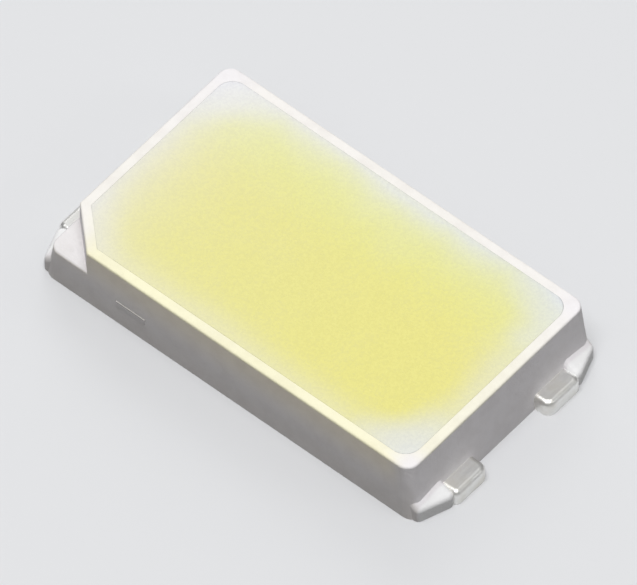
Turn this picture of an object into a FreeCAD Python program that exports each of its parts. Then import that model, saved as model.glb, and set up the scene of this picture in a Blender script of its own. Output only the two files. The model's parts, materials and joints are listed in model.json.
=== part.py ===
import FreeCAD, Part
import math
import os

# Surface-mount LED: a white moulded housing on a silver-plated copper lead frame, with a
# blue chip on the larger lead, two bond wires, and phosphor silicone filling the cavity.
# Millimetres. X runs along the package from the cathode end to the anode end, Y across
# it, and Z up from the solder plane. The origin is the centre of the underside.

V = FreeCAD.Vector

# Housing, whose walls lean in towards the top by the draft of the mould
package_height = 0.80
body_top_length = 5.00
body_top_width = 2.93
end_draft = 0.10
side_draft = 0.035
body_corner_radius = 0.15
rim_edge_radius = 0.025
notch_edge_radius = 0.025

# Reflector cavity
rim_width = 0.115
mouth_corner_radius = 0.20
floor_corner_radius = 0.60
end_slope_run = 0.30
side_slope_run = 0.17

# Polarity notch in the cathode corner
notch_length = 0.50
notch_width = 0.47
notch_ledge_height = 0.48

# Gate mark left by the moulding on one long wall
gate_mark_length = 0.40
gate_mark_height = 0.08
gate_mark_proud = 0.008
gate_mark_edge_radius = 0.007
gate_mark_x = -1.37
gate_mark_z = 0.31

# Lead frame
lead_thickness = 0.20
lead_side_cover = 0.25
lead_end_cover = 0.15
lock_step = 0.10
lock_height = 0.10
isolation_gap = 0.30
isolation_centre_x = 1.00

# Ears
ear_reach = 0.20
ear_gap = 1.00
ear_width = 0.50
ear_embed = 0.03
ear_inner_radius = 0.10
ear_outer_radius = 0.07
ear_edge_roll = 0.065

# Toes, the low wedges of the housing that fill the corners beside the ears
toe_side_inset = 0.025
toe_outer_reach = 0.02
toe_setback = 0.01
toe_rise = 0.09
toe_foot_height = 0.18
toe_edge_radius = 0.07

# Chip and its adhesive
die_length = 0.90
die_width = 0.56
die_height = 0.15
die_x = -0.10
attach_thickness = 0.012
attach_margin = 0.03
bond_pad_diameter = 0.10
bond_pad_height = 0.004
bond_pad_inset = 0.14

# Bond wires
wire_diameter = 0.03
ball_diameter = 0.075
ball_height = 0.025
loop_height = 0.16
loop_radius = 0.08
stitch_length = 0.09
stitch_width = 0.07
stitch_thickness = 0.014
anode_stitch_setback = 0.35
cathode_stitch_clearance = 0.60

# Filling
fill_dip = 0.015
meniscus_run = 0.12

# Places that follow from the sizes above
body_foot_length = body_top_length + 2 * end_draft
body_foot_width = body_top_width + 2 * side_draft
mouth_length = body_top_length - 2 * rim_width
mouth_width = body_top_width - 2 * rim_width
floor_length = mouth_length - 2 * end_slope_run
floor_width = mouth_width - 2 * side_slope_run
ear_x = body_foot_length / 2 + ear_reach
lead_width = body_foot_width - 2 * lead_side_cover
lead_end_x = body_foot_length / 2 - lead_end_cover
anode_edge_x = isolation_centre_x + isolation_gap / 2
cathode_edge_x = isolation_centre_x - isolation_gap / 2
toe_inner_y = ear_gap / 2 + ear_width
toe_top_z = lead_thickness + toe_rise
die_floor_z = lead_thickness + attach_thickness
die_top_z = die_floor_z + die_height
pad_top_z = die_top_z + bond_pad_height
anode_stitch_x = anode_edge_x + anode_stitch_setback
cathode_stitch_x = die_x - die_length / 2 - cathode_stitch_clearance


def prism(points, low, high):
    """A straight prism on a plan outline given as (x, y) corners."""
    corners = [V(x, y, low) for x, y in points]
    face = Part.Face(Part.makePolygon(corners + corners[:1]))
    return face.extrude(V(0, 0, high - low))


def rounded_rectangle(length, width, radius, z):
    """A wire round the Z axis, four quarter arcs joined by four straight sides."""
    half_x = length / 2 - radius
    half_y = width / 2 - radius
    centres = [V(half_x, half_y, z), V(-half_x, half_y, z), V(-half_x, -half_y, z), V(half_x, -half_y, z)]
    arcs = []
    for turn, centre in enumerate(centres):
        points = []
        for part in (0, 0.5, 1):
            angle = math.pi / 2 * (turn + part)
            points.append(centre + V(radius * math.cos(angle), radius * math.sin(angle), 0))
        arcs.append(points)
    edges = []
    for arc, following in zip(arcs, arcs[1:] + arcs[:1]):
        edges.append(Part.Arc(*arc).toShape())
        edges.append(Part.LineSegment(arc[2], following[0]).toShape())
    return Part.Wire(edges)


def tapered(lower, upper):
    """The solid between two outlines at different heights, with straight sides."""
    return Part.makeLoft([lower, upper], True, True)


def with_mirror(shape):
    """The shape and its copy on the other side of the XZ plane."""
    return [shape, shape.mirror(V(0, 0, 0), V(0, 1, 0))]


def edges_where(shape, test):
    """The edges whose middle point passes the test."""
    found = []
    for edge in shape.Edges:
        middle = edge.valueAt((edge.FirstParameter + edge.LastParameter) / 2)
        if test(middle):
            found.append(edge)
    return found


def end_wall_x(z):
    """Where the end wall stands at a height, as it leans in."""
    share = z / package_height
    return (body_foot_length + (body_top_length - body_foot_length) * share) / 2


def side_wall_y(z):
    """Where the long wall stands at a height, as it leans in."""
    share = z / package_height
    return (body_foot_width + (body_top_width - body_foot_width) * share) / 2


def beyond_notch(inset, low, high):
    """All that lies outside the notch's plane, once that plane is moved in by an inset."""
    corner = V(-body_top_length / 2, -body_top_width / 2, 0)
    start = corner + V(0, notch_width, 0)
    end = corner + V(notch_length, 0, 0)
    along = (end - start).normalize()
    outward = V(along.y, -along.x, 0)
    near = start - outward * inset
    reach = body_foot_width
    corners = [
        near - along * reach,
        near + along * reach,
        near + along * reach + outward * reach,
        near - along * reach + outward * reach,
    ]
    return prism([(point.x, point.y) for point in corners], low, high)


def cavity():
    """The reflector pocket, from the lead frame's top up to the mouth."""
    floor = rounded_rectangle(floor_length, floor_width, floor_corner_radius, lead_thickness)
    mouth = rounded_rectangle(mouth_length, mouth_width, mouth_corner_radius, package_height)
    pocket = tapered(floor, mouth)
    return pocket.cut(beyond_notch(rim_width, 0, package_height))


def on_notch(point):
    """Whether an edge's middle lies on the notch's upper edge or on an outer edge of its ledge."""
    middle_x = -body_top_length / 2 + notch_length / 2
    middle_y = -body_top_width / 2 + notch_width / 2
    away = math.hypot(point.x - middle_x, point.y - middle_y)
    if abs(point.z - notch_ledge_height) < notch_edge_radius:
        return away > notch_width / 4
    return point.z > package_height - notch_edge_radius and away < notch_edge_radius


def body_block():
    """The drafted outer block with its rim rounded and its polarity notch cut."""
    foot = rounded_rectangle(body_foot_length, body_foot_width, body_corner_radius, 0)
    top = rounded_rectangle(body_top_length, body_top_width, body_corner_radius, package_height)
    block = tapered(foot, top)
    rim_edges = edges_where(block, lambda point: point.z > package_height - rim_edge_radius)
    block = block.makeFillet(rim_edge_radius, rim_edges)
    block = block.cut(beyond_notch(0, notch_ledge_height, package_height))
    return block.makeFillet(notch_edge_radius, edges_where(block, on_notch))


def toe_profile(y, reach, wall_x):
    """A toe's outline in a plane across Y: a slope down from the wall to an upright foot."""
    root_x = body_top_length / 2 - rim_width
    outer_x = body_foot_length / 2 + reach
    slope = (toe_top_z - toe_foot_height) / (outer_x - wall_x)
    points = [
        V(root_x, y, 0),
        V(outer_x, y, 0),
        V(outer_x, y, toe_foot_height),
        V(root_x, y, toe_top_z + slope * (wall_x - root_x)),
    ]
    return Part.makePolygon(points + points[:1])


def toe():
    """One toe at the anode end, from beside the ear to the corner, its reach falling away."""
    wall_x = end_wall_x(toe_top_z)
    corner_x = wall_x - body_corner_radius / 2
    outer_y = side_wall_y(toe_top_z) - toe_side_inset
    inner = toe_profile(toe_inner_y, ear_reach - toe_setback, wall_x)
    outer = toe_profile(outer_y, toe_outer_reach, corner_x)
    block = tapered(inner, outer)
    above_foot = edges_where(block, lambda point: point.z > 0 and point.x > corner_x)
    return block.makeFillet(toe_edge_radius, above_foot)


def gate_mark():
    """The low pad of plastic where the moulding gate was cut off a long wall."""
    wall_y = side_wall_y(gate_mark_z)
    mark = Part.makeBox(
        gate_mark_length,
        gate_mark_proud + rim_width,
        gate_mark_height,
        V(gate_mark_x - gate_mark_length / 2, -wall_y - gate_mark_proud, gate_mark_z - gate_mark_height / 2),
    )
    outer = edges_where(mark, lambda point: point.y < -wall_y)
    return mark.makeFillet(gate_mark_edge_radius, outer)


def ear():
    """One ear at the anode end, as thick as the lead, with a rolled upper edge."""
    root_x = lead_end_x - lock_step
    width = ear_width + ear_embed
    plate = Part.makeBox(ear_x - root_x, width, lead_thickness, V(root_x, ear_gap / 2, 0))
    middle_y = (ear_gap + width) / 2
    for radius, side in ((ear_inner_radius, -1), (ear_outer_radius, 1)):
        upright = edges_where(
            plate,
            lambda point: point.x > ear_x - ear_edge_roll and side * (point.y - middle_y) > width / 4
            and 0 < point.z < lead_thickness,
        )
        plate = plate.makeFillet(radius, upright)
    rolled = edges_where(plate, lambda point: point.z > lead_thickness - ear_edge_roll and point.x > lead_end_x)
    return plate.makeFillet(ear_edge_roll, rolled)


def lead(inner_x):
    """A lead whose ears point along +X and whose inner edge is at inner_x."""
    flange = Part.makeBox(
        lead_end_x - inner_x,
        lead_width,
        lead_thickness - lock_height,
        V(inner_x, -lead_width / 2, lock_height),
    )
    pad = Part.makeBox(
        lead_end_x - inner_x - 2 * lock_step,
        lead_width - 2 * lock_step,
        lock_height,
        V(inner_x + lock_step, -lead_width / 2 + lock_step, 0),
    )
    return flange.fuse([pad] + with_mirror(ear())).removeSplitter()


def anode_lead():
    """The small lead, which the chip's positive wire lands on."""
    return lead(anode_edge_x)


def cathode_lead():
    """The large lead, which carries the chip."""
    return lead(-cathode_edge_x).mirror(V(0, 0, 0), V(1, 0, 0))


def housing(leads):
    """The moulding: the block with its cavity, toes and gate mark, moulded round the leads."""
    toes = with_mirror(toe())
    toes = toes + [piece.mirror(V(0, 0, 0), V(1, 0, 0)) for piece in toes]
    body = body_block().fuse(toes + [gate_mark()])
    return body.cut([cavity()] + leads).removeSplitter()


def die_attach():
    """The adhesive under the chip, with a small sloping edge round it."""
    length = die_length + 2 * attach_margin
    width = die_width + 2 * attach_margin
    foot = rounded_rectangle(length, width, attach_margin, lead_thickness)
    top = rounded_rectangle(die_length, die_width, attach_margin / 2, die_floor_z)
    layer = tapered(foot, top)
    layer.translate(V(die_x, 0, 0))
    return layer


def bond_pad_x(side):
    """The centre of the chip's bond pad, side +1 for the anode and -1 for the cathode."""
    return die_x + side * (die_length / 2 - bond_pad_inset)


def led_die():
    """The chip with its two metal bond pads."""
    chip = Part.makeBox(
        die_length,
        die_width,
        die_height,
        V(die_x - die_length / 2, -die_width / 2, die_floor_z),
    )
    pads = []
    for side in (1, -1):
        centre = V(bond_pad_x(side), 0, die_top_z)
        pads.append(Part.makeCylinder(bond_pad_diameter / 2, bond_pad_height, centre))
    return chip.fuse(pads)


def bond_wire(pad_x, stitch_x):
    """A ball on the chip's pad, a rise with one bend, a straight fall, and a stitch on the lead."""
    radius = wire_diameter / 2
    foot = V(pad_x, 0, pad_top_z)
    knee = V(pad_x, 0, die_top_z + loop_height)
    landing = V(stitch_x, 0, lead_thickness)
    down = (foot - knee).normalize()
    onward = (landing - knee).normalize()
    half_angle = down.getAngle(onward) / 2
    setback = loop_radius / math.tan(half_angle)
    centre = knee + (down + onward).normalize() * (loop_radius / math.sin(half_angle))
    bend_start = knee + down * setback
    bend_end = knee + onward * setback
    disc = Part.Face(Part.Wire(Part.makeCircle(radius, bend_start, down)))
    bend = disc.revolve(centre, onward.cross(down), 180 - math.degrees(2 * half_angle))
    rise = Part.makeCylinder(radius, (bend_start - foot).Length, foot, bend_start - foot)
    fall = Part.makeCylinder(radius, (landing - bend_end).Length + wire_diameter, bend_end, onward)
    ball = Part.makeCylinder(ball_diameter / 2, ball_height, foot)
    stitch = Part.makeBox(
        stitch_length,
        stitch_width,
        stitch_thickness,
        V(stitch_x - stitch_length / 2, -stitch_width / 2, lead_thickness),
    )
    below = Part.makeBox(stitch_length * 2, stitch_width, lead_thickness)
    below.translate(V(stitch_x - stitch_length, -stitch_width / 2, 0))
    return ball.fuse([rise, bend, fall, stitch]).cut(below).removeSplitter()


def phosphor_encapsulant(inner_pieces):
    """The silicone that fills the cavity round the inner pieces, with a shallow meniscus."""
    dip_z = package_height - fill_dip
    radius = mouth_corner_radius
    low = rounded_rectangle(mouth_length - 2 * meniscus_run, mouth_width - 2 * meniscus_run, radius, dip_z)
    high = rounded_rectangle(mouth_length, mouth_width, radius, package_height)
    return cavity().cut([tapered(low, high)] + inner_pieces)


anode = anode_lead()
cathode = cathode_lead()
inner = {
    "die_attach": die_attach(),
    "led_die": led_die(),
    "bond_wire_anode": bond_wire(bond_pad_x(1), anode_stitch_x),
    "bond_wire_cathode": bond_wire(bond_pad_x(-1), cathode_stitch_x),
}
pieces = {
    "housing": housing([anode, cathode]),
    "anode_lead": anode,
    "cathode_lead": cathode,
    "phosphor_encapsulant": phosphor_encapsulant(list(inner.values())),
    **inner,
}

os.makedirs("parts", exist_ok=True)
for name, shape in pieces.items():
    shape.exportStep("parts/" + name + ".step")
    box = shape.BoundBox
    print(
        name,
        "solids", len(shape.Solids),
        "valid", shape.isValid(),
        "volume", round(shape.Volume, 5),
        "x", round(box.XMin, 3), round(box.XMax, 3),
        "y", round(box.YMin, 3), round(box.YMax, 3),
        "z", round(box.ZMin, 3), round(box.ZMax, 3),
    )
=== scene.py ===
import json
import math

import bmesh
import bpy
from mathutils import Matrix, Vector


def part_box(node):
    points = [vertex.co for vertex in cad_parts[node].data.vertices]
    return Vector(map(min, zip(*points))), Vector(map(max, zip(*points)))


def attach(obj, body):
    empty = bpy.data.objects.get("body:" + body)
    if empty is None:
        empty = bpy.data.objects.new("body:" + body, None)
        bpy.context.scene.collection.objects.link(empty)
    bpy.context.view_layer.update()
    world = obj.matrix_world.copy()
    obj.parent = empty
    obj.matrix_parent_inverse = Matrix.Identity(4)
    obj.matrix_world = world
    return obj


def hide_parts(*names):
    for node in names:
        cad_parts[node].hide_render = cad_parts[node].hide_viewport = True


# Everything is in metres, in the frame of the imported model
MM = 0.001

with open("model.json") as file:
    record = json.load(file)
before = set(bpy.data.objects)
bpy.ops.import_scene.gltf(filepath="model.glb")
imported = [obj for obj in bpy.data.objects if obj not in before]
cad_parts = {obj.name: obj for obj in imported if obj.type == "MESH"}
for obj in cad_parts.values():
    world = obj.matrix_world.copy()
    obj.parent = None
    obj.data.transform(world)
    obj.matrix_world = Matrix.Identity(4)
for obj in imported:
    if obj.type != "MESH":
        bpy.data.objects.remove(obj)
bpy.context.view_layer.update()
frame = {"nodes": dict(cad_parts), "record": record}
nodes = frame["nodes"]

# High corners of the housing and of the filling, by which the finishes are laid out
housing_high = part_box("housing")[1]
mouth_x, mouth_y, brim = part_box("phosphor_encapsulant")[1]


# Node helpers
class Shader:
    """The node tree of a material or a world, built up call by call."""

    def __init__(self, owner, output_kind="ShaderNodeOutputMaterial"):
        owner.use_nodes = True
        self.owner = owner
        self.tree = owner.node_tree
        self.tree.nodes.clear()
        self.output = self.tree.nodes.new(output_kind)

    def put(self, socket, value):
        """Sets an input to a number or colour, or links it to another node's output."""
        if isinstance(value, bpy.types.NodeSocket):
            self.tree.links.new(value, socket)
        else:
            socket.default_value = value

    def add(self, kind, inputs=(), **settings):
        """A node of that kind. inputs maps names or numbers of inputs to their values."""
        node = self.tree.nodes.new(kind)
        for key, value in settings.items():
            setattr(node, key, value)
        for key, value in dict(inputs).items():
            self.put(node.inputs[key], value)
        return node

    def finish(self, kind, inputs):
        """Ends the tree with a shader of that kind, and gives the material or world back."""
        self.put(self.output.inputs["Surface"], self.add(kind, inputs).outputs[0])
        return self.owner

    def math(self, operation, a, b=0.0, clamp=False):
        """One sum on two values, kept within 0 to 1 if clamp is set."""
        return self.add("ShaderNodeMath", {0: a, 1: b}, operation=operation, use_clamp=clamp).outputs[0]

    def times(self, *values):
        """The product of two or more values."""
        product = values[0]
        for value in values[1:]:
            product = self.math("MULTIPLY", product, value)
        return product

    def less(self, a, b):
        """What is left of a when b is taken from it."""
        return self.math("SUBTRACT", a, b)

    def ramp(self, value, low, high, out_low=0.0, out_high=1.0, kind="LINEAR"):
        """Goes straight from out_low to out_high as value goes from low to high, and no further."""
        inputs = {"Value": value, "From Min": low, "From Max": high, "To Min": out_low, "To Max": out_high}
        return self.add("ShaderNodeMapRange", inputs, interpolation_type=kind).outputs[0]

    def step(self, value, low, high, out_low=0.0, out_high=1.0):
        """A ramp with a smooth start and end."""
        return self.ramp(value, low, high, out_low, out_high, "SMOOTHSTEP")

    def fall(self, value, low, high):
        """A smooth step down, from 1 to 0."""
        return self.step(value, low, high, 1.0, 0.0)

    def place(self):
        """The place on the object, in metres."""
        return self.add("ShaderNodeTexCoord").outputs["Object"]

    def parts_of(self, vector):
        """The vector's x, y and z."""
        return self.add("ShaderNodeSeparateXYZ", {0: vector}).outputs

    def noise(self, size, detail=2.0, roughness=0.5, stretch=(1.0, 1.0, 1.0)):
        """Noise whose grains are about size across, stretched along the axes."""
        scale = [1.0 / (size * way) for way in stretch]
        mapped = self.add("ShaderNodeMapping", {"Vector": self.place(), "Scale": scale}).outputs[0]
        inputs = {"Vector": mapped, "Scale": 1.0, "Detail": detail, "Roughness": roughness}
        return self.add("ShaderNodeTexNoise", inputs).outputs["Fac"]

    def swing(self, noise, amount):
        """Noise turned into a swing about zero, amount from lowest to highest."""
        return self.times(self.less(noise, 0.5), amount)

    def mix(self, factor, a, b, blend="MIX"):
        """The colour a where factor is 0, and b blended over it where factor is 1."""
        inputs = {"Factor": factor, 6: a, 7: b}
        return self.add("ShaderNodeMix", inputs, data_type="RGBA", blend_type=blend).outputs[2]

    def bump(self, height, depth):
        """A normal tilted as if the surface rose by depth where height is 1."""
        return self.add("ShaderNodeBump", {"Height": height, "Distance": depth}).outputs[0]


def rgb(red, green, blue):
    """A colour given in linear light."""
    return (red, green, blue, 1.0)


def from_screen(red, green, blue):
    """A colour given as it reads on a screen, 0 to 255, turned into linear light."""
    shares = [channel / 255 for channel in (red, green, blue)]
    return rgb(*[s / 12.92 if s < 0.04045 else ((s + 0.055) / 1.055) ** 2.4 for s in shares])


# Limits between which the housing's colour changes, painted light and shade among it. Heights are up from the
# floor
PAINTED_GLOW_HEIGHT = (0.35 * housing_high.z, 0.95 * housing_high.z)
RIM_HEIGHT = (housing_high.z - 0.045 * MM, housing_high.z - 0.01 * MM)
LEDGE_FOOT = (0.42 * MM, 0.46 * MM)
LEDGE_HEAD = (0.52 * MM, 0.56 * MM)

# How far out from the middle the toes begin
TOES = (2.59 * MM, 2.63 * MM)

# More limits, as shares of the half-length or half-width
LONG_WALLS = (0.93, 0.97)
NEAR_WALL = (-0.97, -0.93)
PAINTED_GLOW_END = (0.78, 0.89)
RIM_CORNERS = (0.70, 0.93)
RIM_NEAR_TO_FAR = (-0.3, 0.95)
RIM_LEFT_END = (-0.88, -0.68)
RIM_RIGHT_END = (0.80, 0.88)

# The gate mark's middle, how far the painted shade on its top edge reaches from there, and that shade's
# heights
GATE_MARK_X = -1.37 * MM
GATE_MARK_END = (0.17 * MM, 0.22 * MM)
MARK_EDGE_SHADE_FOOT = (0.332 * MM, 0.343 * MM)
MARK_EDGE_SHADE_HEAD = (0.350 * MM, 0.354 * MM)


def white_plastic():
    """White, with painted warm light towards the rim, standing for light from the filling that comes through
    the thin wall, and with painted shade in places.
    """
    s = Shader(bpy.data.materials.new("white_plastic"))
    cloud = s.noise(0.9 * MM, 3.0)
    mottle = s.noise(0.22 * MM, 3.0, 0.6)
    grain = s.noise(0.035 * MM, 3.0, 0.6)
    x, y, z = s.parts_of(s.place())
    along = s.math("DIVIDE", x, housing_high.x)
    across = s.math("DIVIDE", y, housing_high.y)
    away_x = s.math("ABSOLUTE", along)
    away_y = s.math("ABSOLUTE", across)
    near_wall = s.fall(across, *NEAR_WALL)
    toe = s.step(s.math("ABSOLUTE", x), *TOES)

    # Painted shade: the long walls are greyer low down. Painted warm light: the near one has a warm cast high
    # up, for light from the filling
    long_wall = s.times(s.step(away_y, *LONG_WALLS), s.less(1.0, toe))
    painted_shade_low = s.times(long_wall, s.fall(z, 0.0, housing_high.z))
    colour = s.mix(painted_shade_low, from_screen(247, 244, 246), from_screen(230, 226, 224))
    # Painted warm light, high up on the near wall
    painted_glow_high = s.times(near_wall, s.step(z, *PAINTED_GLOW_HEIGHT), s.fall(along, *PAINTED_GLOW_END))
    colour = s.mix(painted_glow_high, colour, from_screen(252, 244, 228))

    # Painted warm light from the filling: the rim is creamy along the near side and fades to cool white at
    # the corners and the far side
    painted_rim_glow = s.times(
        s.fall(s.math("MINIMUM", away_x, away_y), *RIM_CORNERS),
        s.step(z, *RIM_HEIGHT),
        s.step(across, *RIM_NEAR_TO_FAR, 1.0, 0.2),
        s.step(along, *RIM_LEFT_END, 0.25, 1.0),
        s.step(along, *RIM_RIGHT_END, 1.0, 0.65),
        s.step(cloud, 0.2, 0.8, 0.8, 1.0),
    )
    colour = s.mix(painted_rim_glow, colour, from_screen(254, 250, 214))

    # Painted light makes the toes the whitest part, and painted shade makes the notch's ledge a little dull
    colour = s.mix(toe, colour, from_screen(255, 255, 255))
    upward = s.parts_of(s.add("ShaderNodeTexCoord").outputs["Normal"])[2]
    painted_ledge_shade = s.times(s.step(upward, 0.5, 0.9), s.step(z, *LEDGE_FOOT), s.fall(z, *LEDGE_HEAD))
    colour = s.mix(painted_ledge_shade, colour, from_screen(237, 234, 234))

    # Faint blotches, fainter on the toes
    blotch = s.times(s.step(mottle, 0.35, 0.7), s.less(0.35, s.times(toe, 0.25)))
    colour = s.mix(blotch, colour, from_screen(238, 236, 235), "MULTIPLY")

    # Painted shade dulls the lit top edge of the gate mark
    from_mark = s.math("ABSOLUTE", s.less(x, GATE_MARK_X))
    painted_mark_edge_shade = s.times(
        s.fall(from_mark, *GATE_MARK_END),
        s.step(z, *MARK_EDGE_SHADE_FOOT),
        s.fall(z, *MARK_EDGE_SHADE_HEAD),
        near_wall,
        0.9,
    )
    colour = s.mix(painted_mark_edge_shade, colour, from_screen(186, 183, 178))
    return s.finish("ShaderNodeBsdfPrincipled", {
        "Base Color": colour,
        "Roughness": s.ramp(grain, 0.3, 0.7, 0.5, 0.68),
        "IOR": 1.48,
        "Normal": s.bump(grain, 0.0045 * MM),
    })


def silver_plating():
    """Satin silver with fine rolling lines."""
    s = Shader(bpy.data.materials.new("silver_plating"))
    lines = s.noise(0.02 * MM, 2.0, 0.5, (1.0, 14.0, 1.0))
    cloud = s.noise(0.25 * MM, 3.0)
    return s.finish("ShaderNodeBsdfPrincipled", {
        "Base Color": s.mix(s.step(cloud, 0.35, 0.7), from_screen(238, 238, 236), from_screen(226, 224, 218)),
        "Metallic": 1.0,
        "Roughness": s.ramp(cloud, 0.3, 0.7, 0.34, 0.46),
        "Normal": s.bump(lines, 0.003 * MM),
    })


# Paleness of the filling at each edge of its mouth: the edge, how far in the paleness reaches,
# how much of it there is at the edge, and how sharply it ends
EDGE_FADES = (
    ("left", 0.42 * MM, 0.68, 1.0),
    ("right", 0.245 * MM, 0.34, 2.0),
    ("far", 0.29 * MM, 0.73, 1.0),
    ("near", 0.255 * MM, 0.27, 2.0),
)

# More paleness in each corner, by the signs of its x and y
CORNER_FADES = {(-1, 1): 0.52, (1, 1): 0.40, (-1, -1): 0.22, (1, -1): 0.58}
CORNER_REACH = 0.8 * MM


def phosphor_silicone():
    """Yellow where the filling is deep, paler where the white walls slope up under it."""
    s = Shader(bpy.data.materials.new("phosphor_silicone"))
    x, y, _ = s.parts_of(s.place())
    drift = s.swing(s.noise(1.1 * MM, 2.0), 0.30 * MM)
    x = s.math("ADD", x, drift)
    y = s.math("ADD", y, drift)
    inwards = {
        "left": s.math("ADD", x, mouth_x),
        "right": s.less(mouth_x, x),
        "far": s.less(mouth_y, y),
        "near": s.math("ADD", y, mouth_y),
    }
    fades = []

    # Paleness dies away from each edge
    for edge, reach, amount, power in EDGE_FADES:
        depth = s.math("DIVIDE", s.math("MAXIMUM", inwards[edge], 0.0), reach)
        fall = s.math("EXPONENT", s.times(s.math("POWER", depth, power), -1.0))
        fades.append(s.math("MULTIPLY", fall, amount, clamp=True))

    # More of it fills each corner. both is 1 on the corner's diagonal and 0 along its sides
    for (side_x, side_y), amount in CORNER_FADES.items():
        qx = s.math("MAXIMUM", s.less(s.times(x, side_x), mouth_x - CORNER_REACH), 0.0)
        qy = s.math("MAXIMUM", s.less(s.times(y, side_y), mouth_y - CORNER_REACH), 0.0)
        square = s.math("ADD", s.times(qx, qx), s.times(qy, qy))
        radius = s.math("DIVIDE", s.math("SQRT", square), CORNER_REACH)
        both = s.math("DIVIDE", s.times(qx, qy, 2.0), s.math("ADD", square, 1e-12))
        fades.append(s.times(s.step(radius, 0.5, 1.0, 0.0, amount), both))
    pale = s.less(1.0, s.times(*[s.less(1.0, fade) for fade in fades]))

    # Clouds and specks of phosphor
    speck = s.noise(0.032 * MM, 2.0, 0.7)
    pale = s.math("ADD", pale, s.swing(s.noise(0.55 * MM, 3.0), 0.11))
    pale = s.math("ADD", pale, s.swing(speck, 0.22), clamp=True)

    # Deep silicone is more saturated to the right and greener on the far side
    deep = s.mix(s.step(x, -1.2 * MM, 1.5 * MM), from_screen(236, 231, 150), from_screen(237, 231, 141))
    deep = s.mix(s.step(y, 0.0, mouth_y), deep, from_screen(235, 236, 146))
    thin = s.mix(s.step(x, -mouth_x, mouth_x), from_screen(239, 239, 251), from_screen(229, 233, 246))
    colour = s.mix(pale, deep, thin)
    dim = s.times(s.step(speck, 0.35, 0.65), 0.4)
    return s.finish("ShaderNodeBsdfPrincipled", {
        "Base Color": s.mix(dim, colour, from_screen(240, 239, 232), "MULTIPLY"),
        "Roughness": 0.38,
        "IOR": 1.41,
        "Normal": s.bump(speck, 0.004 * MM),
    })


def cloudy(name, cloud_size, colours, settings):
    """A plain material whose colour drifts between two."""
    s = Shader(bpy.data.materials.new(name))
    colour = s.mix(s.noise(cloud_size), *[from_screen(*colour) for colour in colours])
    return s.finish("ShaderNodeBsdfPrincipled", {"Base Color": colour, **settings})


def chip():
    return cloudy("chip", 0.2 * MM, [(150, 165, 185), (120, 140, 170)], {"Roughness": 0.15, "IOR": 1.77})


def adhesive():
    return cloudy("adhesive", 0.1 * MM, [(236, 235, 230), (224, 222, 214)], {"Roughness": 0.35})


def gold():
    metal = {"Metallic": 1.0, "Roughness": 0.22}
    return cloudy("gold", 0.03 * MM, [(255, 220, 130), (240, 198, 105)], metal)


finishes = {
    "white_plastic": white_plastic(),
    "silver_plating": silver_plating(),
    "phosphor_silicone": phosphor_silicone(),
    "chip": chip(),
    "adhesive": adhesive(),
    "gold": gold(),
}
for part in frame["record"]["subparts"]:
    mesh = nodes[part["node"]].data
    mesh.materials.clear()
    mesh.materials.append(finishes[part["material_slot"]])

# The meniscus: how far it dips below the brim, how fast, and where its rings of points lie
DIP = 0.015 * MM
DIP_REACH = 0.05 * MM
RING_INSETS = [inset * MM for inset in (0.012, 0.027, 0.045, 0.068, 0.1, 0.145, 0.21, 0.3)]
SAME_POINT = 2e-5 * MM


def walls_of_filling():
    """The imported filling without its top, with the edge of its mouth flat and at the brim."""
    work = bmesh.new()
    work.from_mesh(nodes["phosphor_encapsulant"].data)
    bmesh.ops.remove_doubles(work, verts=work.verts, dist=SAME_POINT)
    work.normal_update()
    old_top = [f for f in work.faces if f.normal.z > 0.5 and f.calc_center_median().z > brim - 2 * DIP]
    bmesh.ops.delete(work, geom=old_top, context="FACES")
    mouth = {point for edge in work.edges if edge.is_boundary for point in edge.verts}
    mouth = sorted(mouth, key=lambda point: math.atan2(point.co.y, point.co.x))
    for point in mouth:
        point.co.z = brim
    return work, mouth


def filling():
    """The silicone with its meniscus as one smooth surface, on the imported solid's own walls."""
    work, mouth = walls_of_filling()
    for face in work.faces:
        face.smooth = False
    plan = [point.co.copy() for point in mouth]
    outer = mouth
    for inset in RING_INSETS:
        z = brim - DIP * (1 - math.exp(-inset / DIP_REACH))
        shrink_x, shrink_y = 1 - inset / mouth_x, 1 - inset / mouth_y
        inner = [work.verts.new((p.x * shrink_x, p.y * shrink_y, z)) for p in plan]
        for k in range(len(plan)):
            work.faces.new((outer[k - 1], outer[k], inner[k], inner[k - 1])).smooth = True
        outer = inner
    work.faces.new(outer).smooth = True
    bmesh.ops.recalc_face_normals(work, faces=work.faces)
    work.verts.index_update()

    # A new mesh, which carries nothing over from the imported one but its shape
    points = [point.co.copy() for point in work.verts]
    faces = [[point.index for point in face.verts] for face in work.faces]
    shape = bpy.data.meshes.new("phosphor_fill")
    shape.from_pydata(points, [], faces)
    shape.polygons.foreach_set("use_smooth", [face.smooth for face in work.faces])
    work.free()
    piece = bpy.data.objects.new("phosphor_fill", shape)
    bpy.context.scene.collection.objects.link(piece)
    return piece


phosphor_fill = filling()
phosphor_fill.data.materials.append(finishes["phosphor_silicone"])
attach(phosphor_fill, "root")
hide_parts("phosphor_encapsulant")


# Floor, which shows pale but sends little light back up onto the walls
def floor_material():
    s = Shader(bpy.data.materials.new("floor"))
    path = s.add("ShaderNodeLightPath").outputs
    seen = s.math("ADD", path["Is Camera Ray"], path["Is Glossy Ray"])
    seen = s.math("ADD", seen, path["Is Transmission Ray"], clamp=True)
    colour = s.mix(seen, rgb(0.06, 0.06, 0.06), from_screen(226, 227, 229))
    return s.finish("ShaderNodeBsdfDiffuse", {"Color": colour})


FLOOR_HALF = 150 * MM
corners = [(x * FLOOR_HALF, y * FLOOR_HALF, 0) for x, y in ((-1, -1), (1, -1), (1, 1), (-1, 1))]
floor_mesh = bpy.data.meshes.new("floor")
floor_mesh.from_pydata(corners, [], [(0, 1, 2, 3)])
floor_mesh.materials.append(floor_material())
floor = bpy.data.objects.new("floor", floor_mesh)
bpy.context.scene.collection.objects.link(floor)


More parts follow.
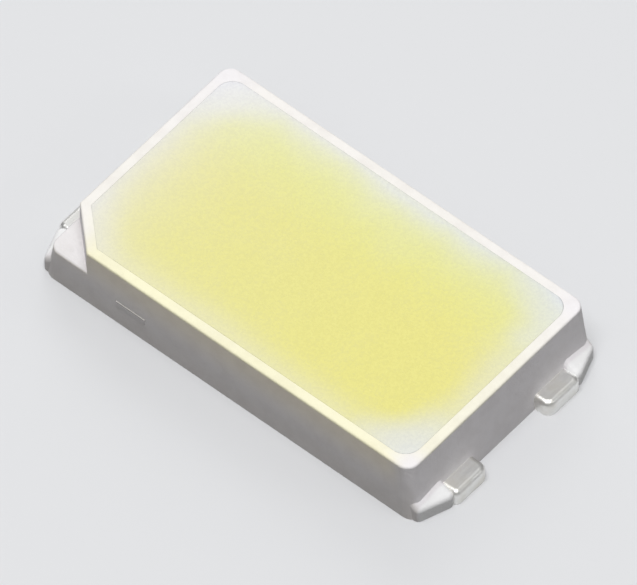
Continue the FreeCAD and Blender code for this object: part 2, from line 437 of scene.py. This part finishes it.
# World, brighter overhead than at the horizon
def studio():
    s = Shader(bpy.data.worlds.new("studio"), "ShaderNodeOutputWorld")
    height = s.parts_of(s.add("ShaderNodeTexCoord").outputs["Generated"])[2]
    strength = s.ramp(height, 0.0, 1.0, 0.12, 0.50)
    return s.finish("ShaderNodeBackground", {"Color": rgb(1.0, 1.0, 1.0), "Strength": strength})


bpy.context.scene.world = studio()


# Lamps and camera
def direction(azimuth, elevation):
    """A unit vector away from the object. Azimuth turns from the near side to the right, in degrees."""
    a, e = math.radians(azimuth), math.radians(elevation)
    return Vector((math.sin(a) * math.cos(e), -math.cos(a) * math.cos(e), math.sin(e)))


def lamp(name, azimuth, elevation, distance, width, level):
    """A square soft lamp that faces the object. level is its share of full light straight on."""
    data = bpy.data.lights.new(name, "AREA")
    data.size = width
    data.energy = level * math.pi ** 2 * distance ** 2
    towards = direction(azimuth, elevation)
    lamp_object = bpy.data.objects.new(name, data)
    lamp_object.location = towards * distance
    lamp_object.rotation_mode = "QUATERNION"
    lamp_object.rotation_quaternion = towards.to_track_quat("Z", "Y")
    bpy.context.scene.collection.objects.link(lamp_object)


lamp("key", azimuth=20, elevation=80, distance=120 * MM, width=70 * MM, level=0.61)
lamp("edge", azimuth=115, elevation=28, distance=120 * MM, width=30 * MM, level=0.04)
lamp("rear", azimuth=222, elevation=27, distance=120 * MM, width=80 * MM, level=0.20)

# The camera looks from the photograph's angle
VIEW = direction(azimuth=40.3, elevation=53)
DISTANCE = 250 * MM
SEEN_WIDTH = 6.8 * MM
TARGET = Vector((0.0, 0.0, 0.34 * MM))
camera_data = bpy.data.cameras.new("camera")
camera_data.sensor_width = 36
camera_data.lens = camera_data.sensor_width * DISTANCE / SEEN_WIDTH
camera_data.clip_start = DISTANCE / 10
camera_data.clip_end = DISTANCE * 4
camera = bpy.data.objects.new("camera", camera_data)
camera.location = TARGET + VIEW * DISTANCE
camera.rotation_mode = "QUATERNION"
camera.rotation_quaternion = VIEW.to_track_quat("Z", "Y")
bpy.context.scene.collection.objects.link(camera)
bpy.context.scene.camera = camera

bpy.context.scene.view_settings.view_transform = "Standard"
